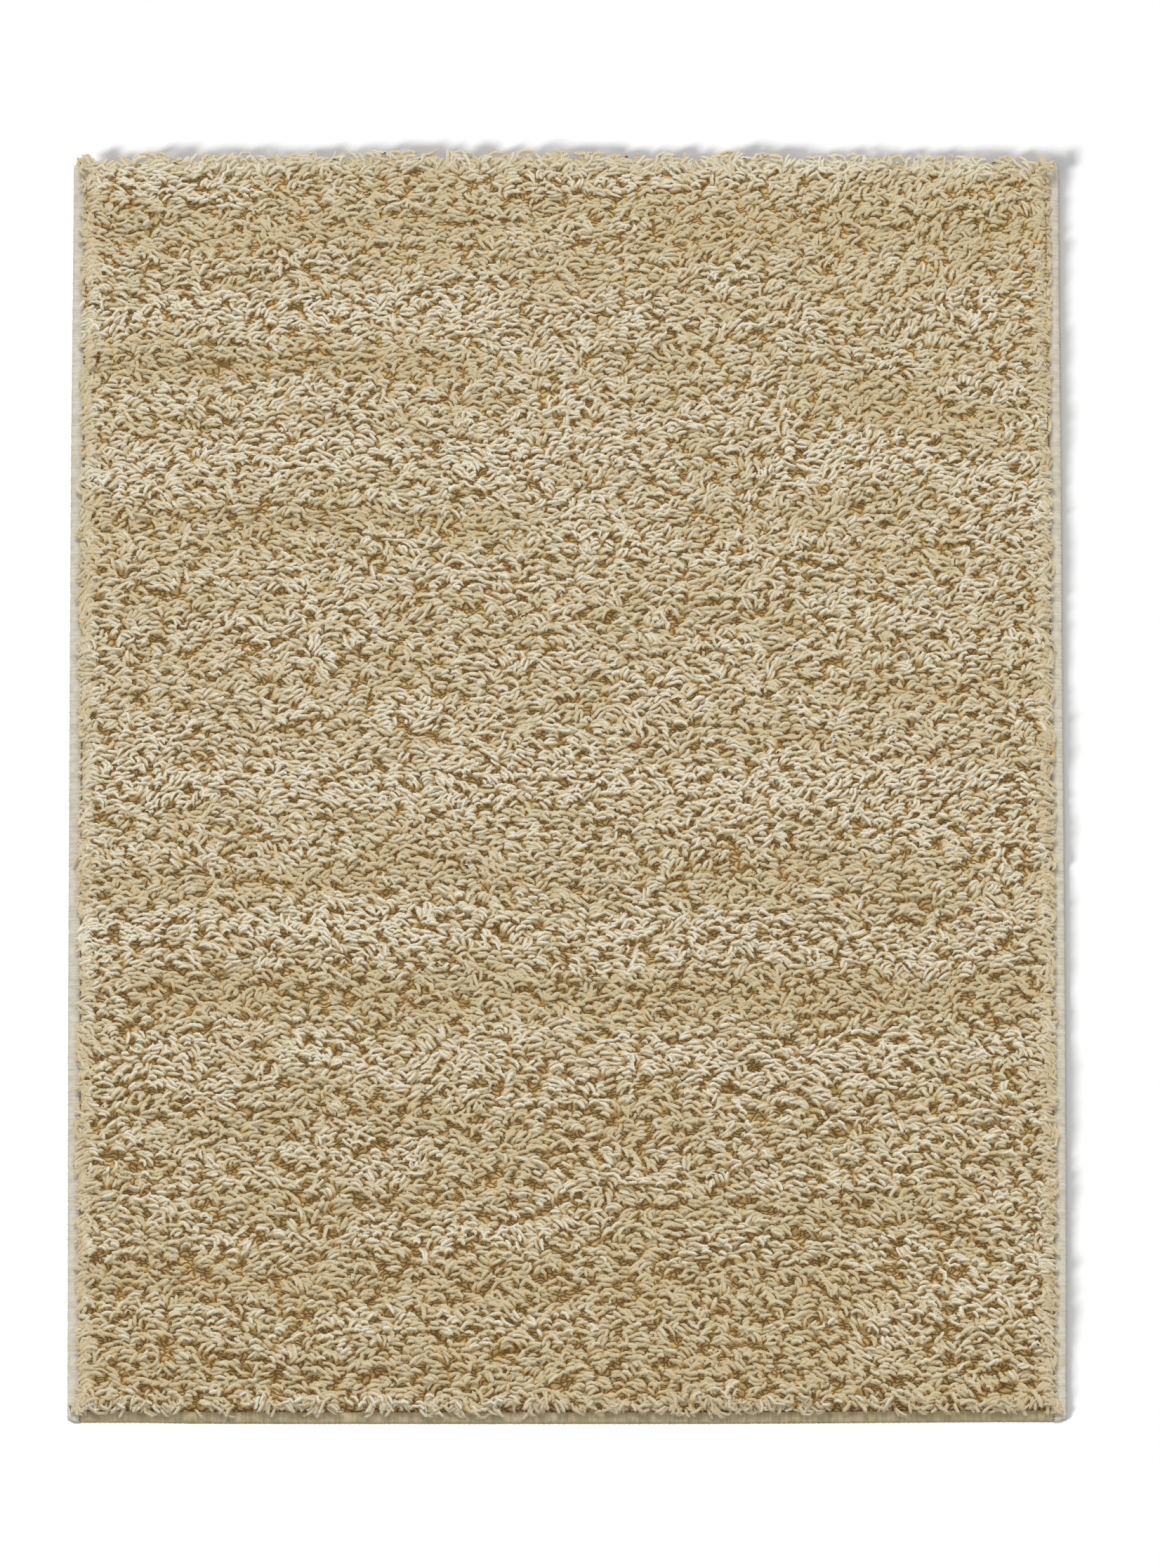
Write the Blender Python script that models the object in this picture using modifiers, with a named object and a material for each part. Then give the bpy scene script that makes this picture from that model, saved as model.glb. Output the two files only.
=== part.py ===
"""Shag rug, 1.2 m wide and 1.7 m long, lying flat.

Long yarn stands about 30 mm high on a thin backing and leans over, so its top is lumpy, with
shallow rows where it parts. At the rim the yarn falls outwards in locks. The two long edges are
overlocked and the two short edges are bound with a strip.

Metres, +Z up. The origin is on the floor under the middle of the rug, +X runs across its width
and +Y along its length.
"""

import math
from typing import NamedTuple

import bmesh
import bpy
from mathutils import Matrix, Vector, noise

# Driving dimensions.
RUG_WIDTH = 1.200
RUG_LENGTH = 1.700
GAP = 0.0003

EDGE_WIDTH = 0.015
EDGE_HEIGHT = 0.0070
EDGE_ROUNDING = 0.0022
EDGE_STEP = 0.070
CORNER_RADIUS = 0.007
CORNER_STEPS = 3

PILE_HEIGHT = 0.0275
PILE_CELLS_ACROSS = 22
PILE_CELLS_ALONG = 62
LUMP_SIZE = 0.085
LUMP_HEIGHT = 0.0080
TUFT_SIZE = 0.036
TUFT_HEIGHT = 0.0062

LOCKS_ON_LONG_SIDE = 62
LOCKS_ON_SHORT_SIDE = 44
LOCK_REACH = 0.0095
LOCK_REACH_FRONT = 0.0120
LOCK_REACH_SPREAD = 0.0110
LOCK_LEAN = math.radians(62.0)
LOCK_TIP_HEIGHT = 0.0076
LOCK_ROOT_HEIGHT = 0.0150
LOCK_ROOT_SPREAD = 0.0050
LOCK_ROOT_DEPTH = 0.0090

HALF_WIDTH = RUG_WIDTH / 2
HALF_LENGTH = RUG_LENGTH / 2
PILE_HALF_WIDTH = HALF_WIDTH - EDGE_WIDTH - GAP
PILE_HALF_LENGTH = HALF_LENGTH - EDGE_WIDTH - GAP


class Station(NamedTuple):
    """How far an edge of the rug lies in from its straight line, at one place along it."""

    at: float
    inset: float


# A laid rug isn't quite a rectangle. Each edge touches its straight line along one stretch.
LEFT_EDGE = (
    Station(at=-0.85, inset=0.0016),
    Station(at=-0.25, inset=0.0000),
    Station(at=0.35, inset=0.0000),
    Station(at=0.85, inset=0.0018),
)
RIGHT_EDGE = (
    Station(at=-0.85, inset=0.0012),
    Station(at=-0.60, inset=0.0000),
    Station(at=-0.30, inset=0.0000),
    Station(at=0.20, inset=0.0015),
    Station(at=0.85, inset=0.0034),
)
FRONT_EDGE = (
    Station(at=-0.60, inset=0.0034),
    Station(at=-0.45, inset=0.0004),
    Station(at=-0.30, inset=0.0000),
    Station(at=0.12, inset=0.0000),
    Station(at=0.60, inset=0.0026),
)
BACK_EDGE = (
    Station(at=-0.60, inset=0.0056),
    Station(at=-0.36, inset=0.0010),
    Station(at=-0.22, inset=0.0000),
    Station(at=0.02, inset=0.0000),
    Station(at=0.30, inset=0.0034),
    Station(at=0.60, inset=0.0080),
)


class Trough(NamedTuple):
    """A shallow row where the pile parts, with its middle at x, y and a turn in degrees."""

    x: float
    y: float
    length: float
    width: float
    depth: float
    turn: float


TROUGHS = (
    Trough(x=-0.50, y=0.748, length=0.18, width=0.034, depth=0.0050, turn=3),
    Trough(x=0.47, y=0.751, length=0.20, width=0.032, depth=0.0036, turn=8),
    Trough(x=-0.44, y=0.553, length=0.34, width=0.036, depth=0.0056, turn=-3),
    Trough(x=-0.19, y=0.566, length=0.16, width=0.034, depth=0.0044, turn=0),
    Trough(x=0.20, y=0.513, length=0.24, width=0.032, depth=0.0036, turn=10),
    Trough(x=-0.34, y=0.352, length=0.50, width=0.034, depth=0.0056, turn=1),
    Trough(x=0.21, y=0.218, length=0.22, width=0.032, depth=0.0034, turn=5),
    Trough(x=-0.43, y=-0.277, length=0.20, width=0.032, depth=0.0036, turn=3),
    Trough(x=-0.24, y=-0.303, length=0.22, width=0.032, depth=0.0036, turn=-4),
    Trough(x=-0.03, y=-0.290, length=0.18, width=0.034, depth=0.0046, turn=-12),
    Trough(x=0.16, y=-0.315, length=0.20, width=0.034, depth=0.0042, turn=5),
    Trough(x=0.45, y=-0.301, length=0.20, width=0.032, depth=0.0036, turn=-5),
    Trough(x=0.26, y=-0.657, length=0.28, width=0.040, depth=0.0060, turn=6),
    Trough(x=-0.11, y=-0.673, length=0.22, width=0.034, depth=0.0042, turn=0),
    Trough(x=0.00, y=-0.808, length=1.12, width=0.030, depth=0.0046, turn=0),
)


class Ring(NamedTuple):
    """One level of the pile's wall: its height and how far it stands out from the backing."""

    outset: float
    height: float


# From the top's rim down. The yarn bulges a little over the edging and is narrow at its root.
WALL = (
    Ring(outset=0.0000, height=0.0235),
    Ring(outset=0.0022, height=0.0165),
    Ring(outset=0.0000, height=0.0090),
    Ring(outset=0.0000, height=0.0000),
)
RIM_INSET = 0.011
RIM_DROP = 0.0015


class LockSection(NamedTuple):
    """A cut through a lock: how far along its reach, its level from tip to root, its size."""

    along: float
    level: float
    width: float
    thickness: float


# The first cut is inside the pile. A lock arches out of it, falls, and ends in a point.
LOCK_SECTIONS = (
    LockSection(along=-1.00, level=0.90, width=0.0150, thickness=0.0070),
    LockSection(along=0.12, level=1.00, width=0.0190, thickness=0.0088),
    LockSection(along=0.62, level=0.45, width=0.0140, thickness=0.0068),
)


def smooth(amount):
    """Eases 0..1 in and out."""
    amount = min(max(amount, 0.0), 1.0)
    return amount * amount * (3.0 - 2.0 * amount)


def inset_at(edge, place):
    """The edge's inset at a place along it, eased from station to station."""
    if place <= edge[0].at:
        return edge[0].inset
    for low, high in zip(edge, edge[1:]):
        if place <= high.at:
            share = smooth((place - low.at) / (high.at - low.at))
            return low.inset + share * (high.inset - low.inset)
    return edge[-1].inset


def as_laid(x, y):
    """Where a point of the straight rug lies in the rug as it is laid."""
    side = RIGHT_EDGE if x > 0 else LEFT_EDGE
    end = BACK_EDGE if y > 0 else FRONT_EDGE
    laid_x = x * (1.0 - inset_at(side, y) / HALF_WIDTH)
    laid_y = y * (1.0 - inset_at(end, x) / HALF_LENGTH)
    return laid_x, laid_y


def trough_depth(x, y):
    """How far the parted rows lower the pile here: the deepest row counts."""
    deepest = 0.0
    for trough in TROUGHS:
        turn = math.radians(trough.turn)
        dx = x - trough.x
        dy = y - trough.y
        along = dx * math.cos(turn) + dy * math.sin(turn)
        across = dy * math.cos(turn) - dx * math.sin(turn)
        ends = smooth((trough.length / 2 - abs(along)) / (0.3 * trough.length) + 0.5)
        depth = trough.depth * ends * math.exp(-((2 * across / trough.width) ** 2))
        deepest = max(deepest, depth)
    return deepest


def pile_top(x, y):
    """Height of the pile's top: broad lumps, smaller tufts, and the parted rows."""
    lumps = LUMP_HEIGHT * noise.noise(Vector((x, y, 0.0)) / LUMP_SIZE)
    tufts = TUFT_HEIGHT * noise.noise(Vector((x, 1.6 * y, 0.5)) / TUFT_SIZE)
    return PILE_HEIGHT + lumps + tufts - trough_depth(x, y)


def new_object(name, bm, collection, material=None):
    mesh = bpy.data.meshes.new(name)
    bm.to_mesh(mesh)
    bm.free()
    mesh.shade_smooth()
    mesh.set_sharp_from_angle(angle=math.radians(40.0))
    if material:
        mesh.materials.append(material)
    obj = bpy.data.objects.new(name, mesh)
    collection.objects.link(obj)
    return obj


def make_material(name, color, roughness):
    material = bpy.data.materials.new(name)
    material.use_nodes = True
    shader = material.node_tree.nodes["Principled BSDF"]
    shader.inputs["Base Color"].default_value = (*color, 1.0)
    shader.inputs["Roughness"].default_value = roughness
    shader.inputs["Metallic"].default_value = 0.0
    return material


def outward(x, y):
    """Which side of the rug a rim point faces: a step of -1, 0 or 1 on each axis."""
    step_x = math.copysign(1.0, x) if abs(x) > PILE_HALF_WIDTH - RIM_INSET - 1e-5 else 0.0
    step_y = math.copysign(1.0, y) if abs(y) > PILE_HALF_LENGTH - RIM_INSET - 1e-5 else 0.0
    return step_x, step_y


def make_pile(collection, material):
    """The backing and the mass of yarn on it: a lumpy top on upright walls, flat below."""
    bm = bmesh.new()
    bmesh.ops.create_grid(
        bm, x_segments=PILE_CELLS_ACROSS, y_segments=PILE_CELLS_ALONG, size=1.0
    )
    for vert in bm.verts:
        vert.co.x *= PILE_HALF_WIDTH - RIM_INSET
        vert.co.y *= PILE_HALF_LENGTH - RIM_INSET
        vert.co.z = pile_top(vert.co.x, vert.co.y)
        if vert.is_boundary:
            vert.co.z -= RIM_DROP

    rim = [edge for edge in bm.edges if edge.is_boundary]
    for ring in WALL:
        made = bmesh.ops.extrude_edge_only(bm, edges=rim)["geom"]
        rim = [item for item in made if isinstance(item, bmesh.types.BMEdge)]
        for vert in (item for item in made if isinstance(item, bmesh.types.BMVert)):
            step_x, step_y = outward(vert.co.x, vert.co.y)
            vert.co.z = ring.height
            if step_x:
                vert.co.x = step_x * (PILE_HALF_WIDTH + ring.outset)
            if step_y:
                vert.co.y = step_y * (PILE_HALF_LENGTH + ring.outset)
    bmesh.ops.holes_fill(bm, edges=rim)
    bmesh.ops.recalc_face_normals(bm, faces=bm.faces)
    for vert in bm.verts:
        vert.co.x, vert.co.y = as_laid(vert.co.x, vert.co.y)
    return new_object("pile", bm, collection, material)


def add_lock(bm, root, direction, reach, root_height, size):
    """One lock of yarn: a three-sided horn that leaves the wall, arches and falls to its tip."""
    side = Vector((-direction.y, direction.x, 0.0))
    rings = []
    for section in LOCK_SECTIONS:
        forward = LOCK_ROOT_DEPTH if section.along < 0 else reach
        low = LOCK_TIP_HEIGHT + section.level * (root_height - LOCK_TIP_HEIGHT)
        middle = root + direction * section.along * forward + Vector((0.0, 0.0, low))
        corners = (
            middle + side * size * section.width / 2,
            middle - side * size * section.width / 2,
            middle + Vector((0.0, 0.0, section.thickness)),
        )
        rings.append([bm.verts.new(corner) for corner in corners])
    tip = bm.verts.new(root + direction * reach + Vector((0.0, 0.0, LOCK_TIP_HEIGHT)))
    for inner, outer in zip(rings, rings[1:]):
        for here in range(3):
            after = (here + 1) % 3
            bm.faces.new((inner[here], inner[after], outer[after], outer[here]))
    for here in range(3):
        bm.faces.new((rings[-1][here], rings[-1][(here + 1) % 3], tip))
    bm.faces.new(rings[0])


def rim_places():
    """Each lock's root on the pile's wall, on the straight rug, with the way that wall faces."""
    for count, half_run, half_across, turned in (
        (LOCKS_ON_LONG_SIDE, PILE_HALF_LENGTH, PILE_HALF_WIDTH, False),
        (LOCKS_ON_SHORT_SIDE, PILE_HALF_WIDTH, PILE_HALF_LENGTH, True),
    ):
        run = 2 * (half_run - CORNER_RADIUS - 0.006)
        for number in range(count):
            place = run * (number / (count - 1) - 0.5)
            for way in (-1.0, 1.0):
                if turned:
                    yield Vector((place, way * half_across, 0.0)), Vector((0.0, way, 0.0))
                else:
                    yield Vector((way * half_across, place, 0.0)), Vector((way, 0.0, 0.0))


def make_locks(collection):
    """All the rim's locks in one mesh. They stand apart, and their roots are in the pile."""
    bm = bmesh.new()
    most_reach = EDGE_WIDTH - GAP
    for root, facing in rim_places():
        lean = LOCK_LEAN * noise.noise(root * 31.0)
        longer = noise.noise(root * 47.0 + Vector((0.0, 0.0, 3.0)))
        higher = noise.noise(root * 23.0 + Vector((0.0, 0.0, 7.0)))
        wider = noise.noise(root * 53.0 + Vector((0.0, 0.0, 5.0)))
        # Yarn on the front hangs furthest over its binding; the long sides show theirs.
        usual = LOCK_REACH_FRONT if facing.y < 0 else LOCK_REACH
        reach = min(usual + LOCK_REACH_SPREAD * longer, most_reach)
        direction = facing.copy()
        direction.rotate(Matrix.Rotation(lean, 3, "Z"))
        root_height = LOCK_ROOT_HEIGHT + LOCK_ROOT_SPREAD * higher
        add_lock(bm, root, direction, reach, root_height, 1.0 + 0.5 * wider)
    bmesh.ops.recalc_face_normals(bm, faces=bm.faces)
    for vert in bm.verts:
        vert.co.x, vert.co.y = as_laid(vert.co.x, vert.co.y)
    locks = new_object("rim_locks", bm, collection)
    locks.hide_render = True
    locks.display_type = "WIRE"
    return locks


def join_locks(pile, locks):
    union = pile.modifiers.new("rim_locks", "BOOLEAN")
    union.operation = "UNION"
    union.solver = "EXACT"
    union.object = locks


def make_edge(name, collection, material, along_y, way):
    """An edging or binding: a flat bar with rounded edges, drawn flat and then thickened.

    The long edges run the rug's whole length and have its rounded corners. The short ones fit
    between them.
    """
    if along_y:
        half_run = HALF_LENGTH
        outer = HALF_WIDTH
    else:
        half_run = HALF_WIDTH - EDGE_WIDTH - GAP
        outer = HALF_LENGTH
    bm = bmesh.new()
    bmesh.ops.create_grid(
        bm, x_segments=1, y_segments=round(2 * half_run / EDGE_STEP), size=0.5
    )
    for vert in bm.verts:
        vert.co.x = outer - EDGE_WIDTH / 2 + vert.co.x * EDGE_WIDTH
        vert.co.y *= 2 * half_run
    if along_y:
        corners = [
            vert
            for vert in bm.verts
            if vert.co.x > outer - 1e-5 and abs(vert.co.y) > half_run - 1e-5
        ]
        bmesh.ops.bevel(
            bm,
            geom=corners,
            affect="VERTICES",
            offset=CORNER_RADIUS,
            segments=CORNER_STEPS,
            profile=0.5,
        )
    for vert in bm.verts:
        x = way * vert.co.x if along_y else vert.co.y
        y = vert.co.y if along_y else way * vert.co.x
        vert.co.x, vert.co.y = as_laid(x, y)
    bm.normal_update()
    downward = [face for face in bm.faces if face.normal.z < 0]
    bmesh.ops.reverse_faces(bm, faces=downward)
    obj = new_object(name, bm, collection, material)

    thick = obj.modifiers.new("thickness", "SOLIDIFY")
    thick.thickness = EDGE_HEIGHT
    thick.offset = 1.0
    rounded = obj.modifiers.new("rounded_edges", "BEVEL")
    rounded.width = EDGE_ROUNDING
    rounded.segments = 2
    rounded.limit_method = "ANGLE"
    rounded.angle_limit = math.radians(50.0)
    return obj


def clear_scene():
    for obj in list(bpy.data.objects):
        bpy.data.objects.remove(obj, do_unlink=True)


def new_collection(name):
    collection = bpy.data.collections.new(name)
    bpy.context.scene.collection.children.link(collection)
    return collection


def main():
    clear_scene()
    rug = new_collection("shag_rug")
    cutters = new_collection("cutters")

    pile_yarn = make_material("pile_yarn", (0.47, 0.37, 0.24), 0.9)
    edging_thread = make_material("edging_thread", (0.58, 0.54, 0.44), 0.85)
    binding_cloth = make_material("binding_cloth", (0.34, 0.27, 0.16), 0.9)

    pile = make_pile(rug, pile_yarn)
    join_locks(pile, make_locks(cutters))
    make_edge("edging_left", rug, edging_thread, along_y=True, way=-1.0)
    make_edge("edging_right", rug, edging_thread, along_y=True, way=1.0)
    make_edge("binding_front", rug, binding_cloth, along_y=False, way=-1.0)
    make_edge("binding_back", rug, binding_cloth, along_y=False, way=1.0)


main()
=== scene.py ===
"""Looks of the shag rug: its yarn strand by strand, the matting it grows from, its bound edges.

Everything is in metres, +Z up, in the CAD model's own frame. The CAD pile is replaced by a
lumpy sheet of matted lower yarn, which is a little lower, and by closed tapered strands that
stand in it in tufts, bend over together and keep to the height of the CAD pile under them.
"""

import math
from typing import NamedTuple

import bpy
import numpy as np
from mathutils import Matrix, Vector
from mathutils.bvhtree import BVHTree


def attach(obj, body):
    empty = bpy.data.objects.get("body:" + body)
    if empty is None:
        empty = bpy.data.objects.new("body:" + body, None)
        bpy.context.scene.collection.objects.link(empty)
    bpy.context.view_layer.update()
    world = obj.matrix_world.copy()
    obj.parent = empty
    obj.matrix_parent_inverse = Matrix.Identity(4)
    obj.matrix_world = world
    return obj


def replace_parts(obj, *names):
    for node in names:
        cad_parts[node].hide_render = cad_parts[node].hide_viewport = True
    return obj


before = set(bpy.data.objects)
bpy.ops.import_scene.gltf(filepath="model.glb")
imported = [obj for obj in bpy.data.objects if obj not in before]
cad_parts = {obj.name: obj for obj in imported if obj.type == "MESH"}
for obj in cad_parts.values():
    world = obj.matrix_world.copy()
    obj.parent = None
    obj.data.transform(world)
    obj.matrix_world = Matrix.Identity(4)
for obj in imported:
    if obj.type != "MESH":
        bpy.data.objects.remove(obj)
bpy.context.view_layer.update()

SEED = 7

# The photograph's frame, where the rug's middle is in it, and how steeply the camera looks down.
# Its lens is long, because the photograph's rug hardly narrows towards the back.
FRAME_WIDTH_PX = 1652
FRAME_HEIGHT_PX = 2233
RUG_MIDDLE_PX = (807.0, 1124.0)
METRES_PER_PX = 0.000847
VIEW_ELEVATION = math.radians(63.7)
LENS_MM = 1150.0
SENSOR_MM = 36.0
CLIP_START = 1.0
CLIP_END = 200.0

# The straight rug. laid() moves its points to where the CAD model's uneven edges are.
HALF_WIDTH = 0.600
HALF_LENGTH = 0.850
EDGE_WIDTH = 0.015
EDGE_HEIGHT = 0.0070
GAP = 0.0003
CORNER_RADIUS = 0.007
PILE_HALF = np.array([HALF_WIDTH - EDGE_WIDTH - GAP, HALF_LENGTH - EDGE_WIDTH - GAP])

# Matted lower yarn: how far under the CAD pile's top it lies at the far end, how much further at
# the near end, and the least height that it keeps. It goes down a little near the pile's rim.
MATTING_DEPTH = 0.0068
FRONT_DEPTH = 0.0095
LEAST_MATTING = 0.0050
MATTING_STEP = 0.0125
MATTING_RIM = 0.012
MATTING_RIM_DROP = 0.004

# The grid of tufts: its spacing, how far inside the pile's rim its rows and tufts start and end,
# and how far out of place a tuft is, as a share of the spacing.
TUFT_SPACING = 0.0134
ROW_SPACING = TUFT_SPACING * 0.866
ROW_INSETS = (0.004, 0.003)
TUFT_INSETS = (0.003, 0.002)
TUFT_SCATTER = 0.18
ROOT_INSET = 0.0015

# Two rows of further tufts along each rim, inside it and past it.
FRINGE_SPACING = 0.0115
FRINGE_SCATTER = 0.25
INNER_ROW = (-0.004, 0.001)
OUTER_ROW_SHARE = (0.4, 1.0)
FRINGE_END = -0.002

# The usual strand, and the shares of tufts and of strands that fall the other way. CREST is the
# number of its highest point, and FULL_HEIGHT the most that any strand rises to. The two middles
# say how far along it, as a share, its arc and its hook have turned it by nothing.
STRANDS_PER_TUFT = 3
STRAND_RADIUS = 0.00315
STRAND_FLATNESS = 0.52
SIDES = 3
CREST = 2
FULL_HEIGHT = 0.036
TURNED_SHARE = 0.4
BACKWARD_SHARE = 0.12
ARC_MIDDLE = 0.4
HOOK_MIDDLE = 0.3

# How single tufts and strands differ from it: spreads of normal draws, and pairs of limits.
TUFT_TURN = math.radians(14.0)
STRAND_TURN = math.radians(10.0)
TUFT_ARC = math.radians(60.0)
STRAND_ARC = math.radians(30.0)
STRAND_HOOK = math.radians(45.0)
ROLL = 0.35
PITCH = (0.0043, 0.0057)
PITCH_ERROR = 0.0005
ROOT_BEHIND = 0.009
ROOT_BEHIND_SPREAD = 0.0030
STRETCH = (0.50, 1.15)
CLOSING = (0.5, 1.3)
THICKNESS = (0.80, 1.12)
OUTER_THINNER = 0.12
CROWN = 0.0020
CROWN_SPREAD = (0.4, 1.2)
TUFT_RISE = 0.0010
STRAND_RISE = 0.0006
PATCH_RISE = 0.0010
BAND_RISE = 0.0015

# Shades from deepest, 0, to palest, all painted shade and light: the strands that stand highest
# are painted palest and lower ones darker. These say how much patches and bands change that,
# painting raised yarn paler and parted yarn darker, and how much darker the far end and the two
# sides get. FRONT_CONTRAST makes pale strands fewer towards the near end.
SHADES = 32
RANK_ERROR = 0.0006
FRONT_CONTRAST = 0.4
PATCH_SHADE = 0.30
BAND_SHADE = 0.58
FAR_SHADE = 0.26
FAR_END = 0.28
SIDE_SHADE = 0.35
SIDE_BAND = 0.020
SHADE_LIFT = 0.06
PALEST = 0.999

# Gaps between the locks. A lower level gives more of them.
GAP_LEVEL = 0.63
NEAR_GAPS = 0.28
NEAR_GAPS_START = 0.4
FAR_GAPS = 0.06
FAR_GAPS_END = 0.35
FRONT_RIM_GAPS = 0.10
BAND_GAPS = 0.10
CLOSED_RIM = 0.012
CLOSED_SIDE = 0.004

# Strands lack some of their painted root shade along the two sides and the back. Their normals lean
# upwards, which softens the light on them, and do so less over the front rim.
ROOT_SHADE_CUT = 0.30
ROOT_SHADE_CUT_BAND = 0.008
SOFTNESS = 0.9
FRONT_SOFTNESS_LOSS = 0.5
FRONT_BAND = 0.020

PILE_PIECES = 5

# The strands' map keeps this far from the sides of its columns and from its ends.
MAP_MARGIN_ACROSS = 0.04
MAP_MARGIN_ALONG = 0.01


# ---------------------------------------------------------------------------------------------
# Smooth noise

NOISE_CELLS = 256
NOISE_START = 97.0


def drift(places, size, seed):
    """Smooth noise from -1 to 1 at an array of places, with bumps about size across."""
    table = np.random.default_rng(seed).uniform(-1.0, 1.0, (NOISE_CELLS, NOISE_CELLS))
    scaled = places / size + NOISE_START
    cell = np.floor(scaled).astype(int)
    inside = scaled - cell
    ease = inside * inside * (3.0 - 2.0 * inside)
    x0, y0 = cell[:, 0] % NOISE_CELLS, cell[:, 1] % NOISE_CELLS
    x1, y1 = (x0 + 1) % NOISE_CELLS, (y0 + 1) % NOISE_CELLS
    low = table[x0, y0] * (1 - ease[:, 0]) + table[x1, y0] * ease[:, 0]
    high = table[x0, y1] * (1 - ease[:, 0]) + table[x1, y1] * ease[:, 0]
    return low * (1 - ease[:, 1]) + high * ease[:, 1]


class Noise(NamedTuple):
    """A layer of smooth noise. Its bumps are size across, or less where squeeze is above 1."""

    strength: float
    size: float
    seed: int
    squeeze: tuple[float, float] = (1.0, 1.0)


def layered(places, layers):
    """The sum of some layers of noise at an array of places."""
    return sum(
        layer.strength * drift(places * layer.squeeze, layer.size, layer.seed) for layer in layers
    )


MATTING_LUMPS = (
    Noise(strength=0.0022, size=0.014, seed=SEED + 1),
    Noise(strength=0.0016, size=0.030, seed=SEED + 2),
)
SWIRLS_ACROSS = (
    Noise(strength=0.6, size=0.024, seed=SEED + 12),
    Noise(strength=0.9, size=0.011, seed=SEED + 13),
)
SWIRLS_ALONG = (
    Noise(strength=0.6, size=0.024, seed=SEED + 14),
    Noise(strength=0.9, size=0.011, seed=SEED + 15),
)
PATCHES = (
    Noise(strength=0.75, size=0.035, seed=SEED + 21, squeeze=(0.35, 1.3)),
    Noise(strength=0.25, size=0.090, seed=SEED + 22),
)
TUFT_LUMPS = (Noise(strength=0.0012, size=0.015, seed=SEED + 23),)
BAND_WANDER = (Noise(strength=0.010, size=0.110, seed=SEED + 25),)
GAPS = (
    Noise(strength=0.85, size=0.0075, seed=SEED + 31, squeeze=(0.8, 1.3)),
    Noise(strength=0.15, size=0.0270, seed=SEED + 32),
)


def smooth(share):
    share = np.clip(share, 0.0, 1.0)
    return share * share * (3.0 - 2.0 * share)


# ---------------------------------------------------------------------------------------------
# Measures of the CAD model

STATION_STEP = 0.035


class Edge:
    """The outer line of one of the rug's edges, read from the CAD piece along it."""

    def __init__(self, node, axis, way):
        points = np.array([vert.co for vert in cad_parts[node].data.vertices])
        along = points[:, 1 - axis]
        out = points[:, axis] * way
        inner = np.abs(along) < np.abs(along).max() - 2 * CORNER_RADIUS
        stations = np.round(along[inner] / STATION_STEP)
        self.stations = np.array([along[inner][stations == s].mean() for s in np.unique(stations)])
        self.outer = np.array([out[inner][stations == s].max() for s in np.unique(stations)])

    def outer_at(self, along):
        return np.interp(along, self.stations, self.outer)


LEFT = Edge("edging_left", 0, -1.0)
RIGHT = Edge("edging_right", 0, 1.0)
FRONT = Edge("binding_front", 1, -1.0)
BACK = Edge("binding_back", 1, 1.0)


def laid(places):
    """Moves points of the straight rug to where the CAD model's uneven edges put them."""
    x, y = places[:, 0], places[:, 1]
    half_width = np.where(x > 0, RIGHT.outer_at(y), LEFT.outer_at(y))
    half_length = np.where(y > 0, BACK.outer_at(x), FRONT.outer_at(x))
    moved = np.array(places, float)
    moved[:, 0] = x * half_width / HALF_WIDTH
    moved[:, 1] = y * half_length / HALF_LENGTH
    return moved


def frontness_at(places):
    """0 at the rug's far end and 1 at its near end."""
    return 0.5 - 0.5 * places[:, 1] / PILE_HALF[1]


def rim_distance(places):
    """How far inside the pile's rim each place is."""
    return (PILE_HALF - np.abs(places)).min(axis=1)


def cad_pile():
    """A tree of the CAD pile's triangles, for casting rays at."""
    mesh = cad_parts["pile"].data
    mesh.calc_loop_triangles()
    triangles = [tuple(triangle.vertices) for triangle in mesh.loop_triangles]
    return BVHTree.FromPolygons([vert.co for vert in mesh.vertices], triangles)


CAD_PILE = cad_pile()
DOWN = Vector((0.0, 0.0, -1.0))
ABOVE = 0.1
RIM_INSET = 0.012


def top_at(places):
    """The CAD pile's height at each place of the straight rug. Its top ends just inside its rim."""
    inner = np.clip(places, -PILE_HALF + RIM_INSET, PILE_HALF - RIM_INSET)
    heights = [CAD_PILE.ray_cast(Vector((x, y, ABOVE)), DOWN)[0].z for x, y in laid(inner)]
    return np.array(heights)


# ---------------------------------------------------------------------------------------------
# Bands, patches and gaps in the pile


class Band(NamedTuple):
    """A soft wave across the rug, left by its having been rolled.

    Its middle is at x, y. Along it the yarn stands up where rise is above 0, and has parted where
    it is below 0.
    """

    x: float
    y: float
    half_length: float
    half_width: float
    rise: float


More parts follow.
